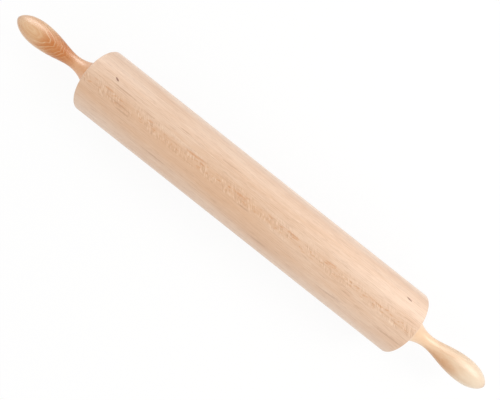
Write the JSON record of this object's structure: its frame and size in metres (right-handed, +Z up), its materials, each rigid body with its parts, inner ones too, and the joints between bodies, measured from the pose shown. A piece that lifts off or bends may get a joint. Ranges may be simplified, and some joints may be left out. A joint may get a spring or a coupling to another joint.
{
  "type": "rolling pin",
  "caption": "Baker's rolling pin: a thick straight maple barrel that turns on ball bearings round a steel rod between two slim turned handles.",
  "frame": {"origin": "on the table under the middle of the barrel, which rests on z = 0", "axes": "+X along the pin from the left handle to the right, +Z up, +Y across the pin"},
  "size_m": [0.698, 0.0824, 0.0825],
  "materials": {
    "barrel_maple": "sanded pale maple, oiled, satin",
    "handle_maple": "turned maple under clear gloss lacquer",
    "rod_steel": "ground steel rod",
    "zinc_steel": "zinc plated steel",
    "bearing_steel": "ground and honed bearing steel",
    "ball_steel": "polished bearing balls",
    "shield_steel": "pressed bright steel sheet",
    "cage_nylon": "moulded natural nylon",
    "insert_brass": "turned brass"
  },
  "bodies": {
    "grip": {"centre_rod": "rod_steel", "left_handle": "handle_maple", "left_handle_insert": "insert_brass", "left_jam_nut": "zinc_steel", "left_spacer_washer": "zinc_steel", "left_bearing_inner_ring": "bearing_steel", "right_handle": "handle_maple", "right_handle_insert": "insert_brass", "right_jam_nut": "zinc_steel", "right_spacer_washer": "zinc_steel", "right_bearing_inner_ring": "bearing_steel"},
    "barrel": {"barrel": "barrel_maple", "left_bearing_outer_ring": "bearing_steel", "left_bearing_inner_shield": "shield_steel", "left_bearing_outer_shield": "shield_steel", "right_bearing_outer_ring": "bearing_steel", "right_bearing_inner_shield": "shield_steel", "right_bearing_outer_shield": "shield_steel"},
    "left_ball_set": {"left_bearing_balls": "ball_steel", "left_bearing_cage": "cage_nylon"},
    "right_ball_set": {"right_bearing_balls": "ball_steel", "right_bearing_cage": "cage_nylon"}
  },
  "joints": [
    {"name": "barrel_spin", "type": "hinge", "parent": "grip", "child": "barrel", "pos_m": [0, 0, 0.04127], "axis": [1, 0, 0], "continuous": true},
    {"name": "left_ball_spin", "type": "hinge", "parent": "grip", "child": "left_ball_set", "pos_m": [-0.22453, 0, 0.04127], "axis": [1, 0, 0], "continuous": true},
    {"name": "right_ball_spin", "type": "hinge", "parent": "grip", "child": "right_ball_set", "pos_m": [0.22453, 0, 0.04127], "axis": [1, 0, 0], "continuous": true}
  ],
  "couplings": [
    {"joint": "left_ball_spin", "follows": "barrel_spin", "ratio": 0.625},
    {"joint": "right_ball_spin", "follows": "barrel_spin", "ratio": 0.625}
  ]
}
